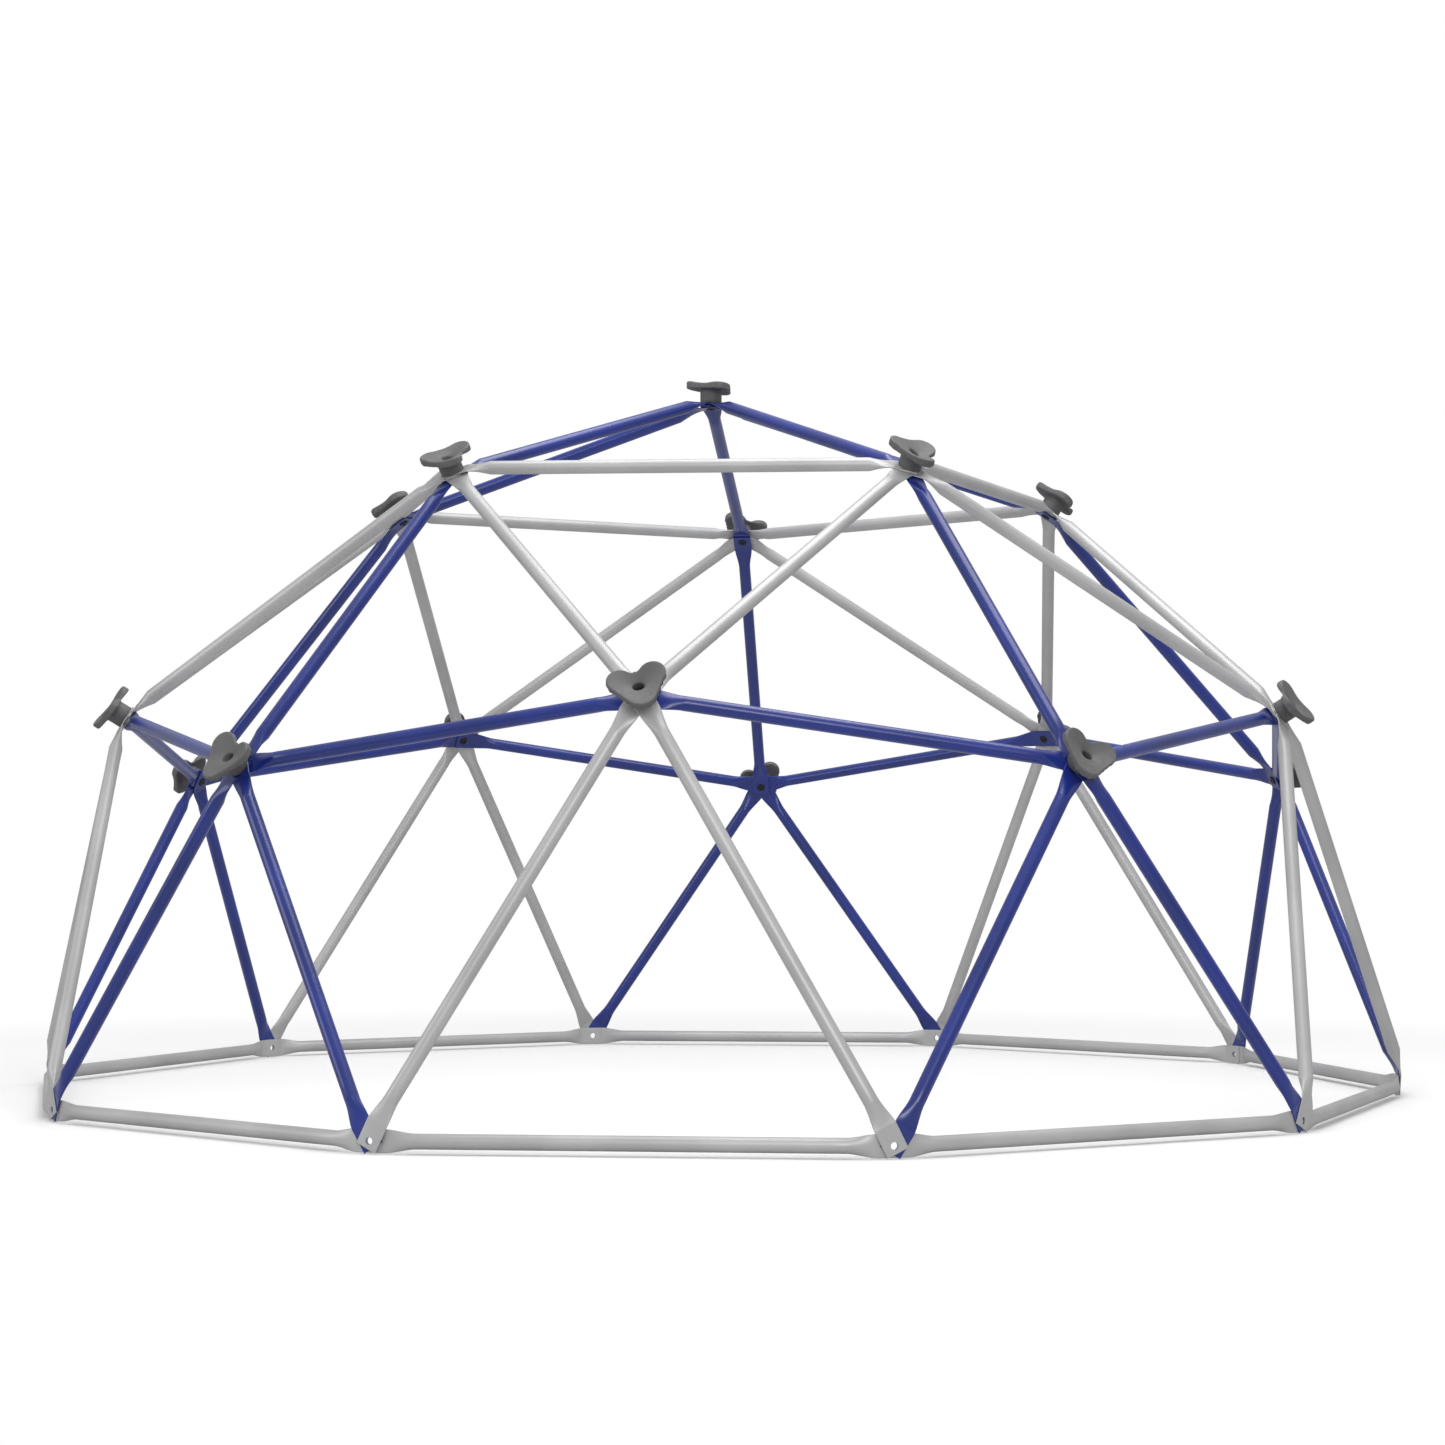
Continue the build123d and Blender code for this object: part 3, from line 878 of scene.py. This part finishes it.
def makeSeated(name, joints, shape, material, looseTurn):
    # Joints are (joint, turn) pairs; the shape's z = 0 lies on the outer face of the stack of tabs.
    mesh = bpy.data.meshes.new(name)
    mesh.from_pydata([stackPoint(joint, len(joint[1]) / 2) for joint, turn in joints], [], [])
    outwards = mesh.attributes.new("outward", "FLOAT_VECTOR", "POINT")
    levels = mesh.attributes.new("level", "FLOAT_VECTOR", "POINT")
    for index, (joint, turn) in enumerate(joints):
        level = Vector((0, 0, 1)).cross(joint[0])
        level = Vector((1, 0, 0)) if level.length < 1e-6 else level.normalized()
        outwards.data[index].vector = joint[0]
        levels.data[index].vector = Matrix.Rotation(turn, 3, joint[0]) @ level
    piece = newPiece(name, mesh)
    grow(piece, seatTree, {"Shape": shape, "Material": material, "Loose Turn": looseTurn, "Seed": 4})
    return piece


# Turn of each handhold's deep notch about its own bolt, in degrees from level.
handholdTurns = {
    "apex": [5],
    "upper": [24, 328, 248, 120, 110],
    "rib": [68, 63, 33, 68, 78],
    "brace": [108, 128, 140, 126, 58],
}
seats = {"handholdApex": ("handhold_apex", apexJoint(), handholdTurns["apex"][0])}
for bay in range(dome["bays"]):
    for kind, joint in (("upper", upperJoint(bay)), ("rib", ribJoint(bay)), ("brace", braceJoint(bay))):
        name = f"handhold{kind.capitalize()}_{bay + 1}"
        seats[name] = (f"handhold_{kind}_{bay + 1}", joint, handholdTurns[kind][bay])

gripShape = newPiece("gripShape", gripMesh)
shapes = [gripShape]
for name, (node, joint, turn) in seats.items():
    piece = makeSeated(name, [(joint, math.radians(turn))], gripShape, plastic, 0.0)
    settle(piece, "handhold", node)
print("handholds made")

fastenerSeats = [(joint, math.radians(turn)) for node, joint, turn in seats.values()]
for name, node, stations in (("handholdBolts", "handhold_bolts", boltStations()),
                             ("handholdWashers", "handhold_washers", washerStations())):
    mesh = turnedMesh(name + "Shape", stations, fastenerSizes["sides"], black)
    weldAndPoint(mesh, fastenerSizes["sharpAngle"])
    shape = newPiece(name + "Shape", mesh)
    shapes.append(shape)
    settle(makeSeated(name, fastenerSeats, shape, black, fastenerSizes["looseTurn"]), "fastener", node)
# Five or six tabs meet under a handhold, so the nuts have two lengths.
nuts = []
for layers in (5, 6):
    stations = nutStations(layers * dome["tabPitch"])
    mesh = turnedMesh(f"nutShape{layers}", stations, fastenerSizes["sides"], black)
    weldAndPoint(mesh, fastenerSizes["sharpAngle"])
    shape = newPiece(f"nutShape{layers}", mesh)
    shapes.append(shape)
    chosen = [seat for seat in fastenerSeats if len(seat[0][1]) == layers]
    nuts.append(makeSeated(f"barrelNuts{layers}", chosen, shape, black, fastenerSizes["looseTurn"]))
with bpy.context.temp_override(active_object=nuts[0], selected_editable_objects=nuts, object=nuts[0]):
    bpy.ops.object.join()
nuts[0].name = "barrelNuts"
settle(nuts[0], "fastener", "barrel_nuts")
for shape in shapes:
    bpy.data.objects.remove(shape)
print("fasteners made")

stageSizes = {
    "floor": 40.0,
    "floorColour": (1.0, 1.0, 1.0, 1),
    "floorRoughness": 0.9,
    "floorShine": 0.1,
    "fadeFrom": 1.7,         # distances from the middle between which the floor turns plain white
    "fadeTo": 3.4,
    "sky": 0.6,              # what the surround lends to light and reflections, above and at the horizon
    "horizon": 0.44,
    "floorBounce": (0.58, 0.58, 0.58, 1),
}


def makeFloor():
    mesh = bpy.data.meshes.new("floor")
    half = stageSizes["floor"]
    corners = [(-half, -half, 0), (half, -half, 0), (half, half, 0), (-half, half, 0)]
    mesh.from_pydata(corners, [], [(0, 1, 2, 3)])
    material = bpy.data.materials.new("floor")
    material.use_nodes = True
    tree = material.node_tree
    shader = tree.nodes["Principled BSDF"]
    sight = tree.nodes.new("ShaderNodeLightPath").outputs["Is Camera Ray"]
    tint = mixColours(tree, sight, stageSizes["floorBounce"], stageSizes["floorColour"])
    tree.links.new(tint, shader.inputs["Base Color"])
    shader.inputs["Roughness"].default_value = stageSizes["floorRoughness"]
    shader.inputs["Specular IOR Level"].default_value = stageSizes["floorShine"]
    away = vectorCalc(tree, "LENGTH", objectPlace(tree))
    share = ramp(tree, away, stageSizes["fadeFrom"], stageSizes["fadeTo"])
    shine = calc(tree, "MAXIMUM", sight, stageSizes["horizon"])
    glow = put(tree, "ShaderNodeEmission", {"Color": (1, 1, 1, 1), "Strength": shine}).outputs[0]
    mix = put(tree, "ShaderNodeMixShader", {0: share, 1: shader.outputs[0], 2: glow})
    tree.links.new(mix.outputs[0], tree.nodes["Material Output"].inputs["Surface"])
    mesh.materials.append(material)
    floor = newPiece("floor", mesh)


def makeSurround():
    world = bpy.data.worlds.new("studio")
    bpy.context.scene.world = world
    world.use_nodes = True
    tree = world.node_tree
    sight = tree.nodes.new("ShaderNodeLightPath").outputs["Is Camera Ray"]
    way = tree.nodes.new("ShaderNodeTexCoord").outputs["Generated"]
    height = put(tree, "ShaderNodeSeparateXYZ", {0: way}).outputs[2]
    dim = ramp(tree, height, 0.0, 0.8, stageSizes["horizon"], stageSizes["sky"])
    strength = calc(tree, "MAXIMUM", sight, dim)
    tree.nodes["Background"].inputs["Color"].default_value = (1, 1, 1, 1)
    tree.links.new(strength, tree.nodes["Background"].inputs["Strength"])


lights = {
    "topLight": {"place": (0.5, -0.4, 4.4), "size": (3.2, 3.2), "power": 110},
    "frontLight": {"place": (1.5, -6.5, 2.6), "size": (3.0, 2.0), "power": 110},
    "fillLight": {"place": (-4.6, -2.6, 2.0), "size": (2.4, 2.4), "power": 40},
}
lightTarget = Vector((0, 0, 0.6))


def makeLight(name, values):
    data = bpy.data.lights.new(name, "AREA")
    data.shape = "RECTANGLE"
    data.size, data.size_y = values["size"]
    data.energy = values["power"]
    light = newPiece(name, data)
    light.location = values["place"]
    light.rotation_euler = (lightTarget - Vector(values["place"])).to_track_quat("-Z", "Y").to_euler()


viewpoint = {
    "place": (0.45225, -4.51058, 0.360),     # in dome radii, above the ground joints' plane
    "azimuth": math.radians(95.508),
    "pitch": math.radians(2.124),
    "sensor": 36.0,
    "lens": 75.98,
    "farthest": 200.0,
}


def makeCamera():
    data = bpy.data.cameras.new("camera")
    data.sensor_width = viewpoint["sensor"]
    data.lens = viewpoint["lens"]
    data.clip_end = viewpoint["farthest"]
    camera = newPiece("camera", data)
    camera.location = Vector(viewpoint["place"]) * dome["radius"] + Vector((0, 0, dome["lift"]))
    azimuth, pitch = viewpoint["azimuth"], viewpoint["pitch"]
    level = math.cos(pitch)
    gaze = Vector((level * math.cos(azimuth), level * math.sin(azimuth), math.sin(pitch)))
    camera.rotation_euler = gaze.to_track_quat("-Z", "Y").to_euler()
    bpy.context.scene.camera = camera


makeFloor()
makeSurround()
for name, values in lights.items():
    makeLight(name, values)
makeCamera()
bpy.context.scene.view_settings.view_transform = "Standard"
print("stage made")
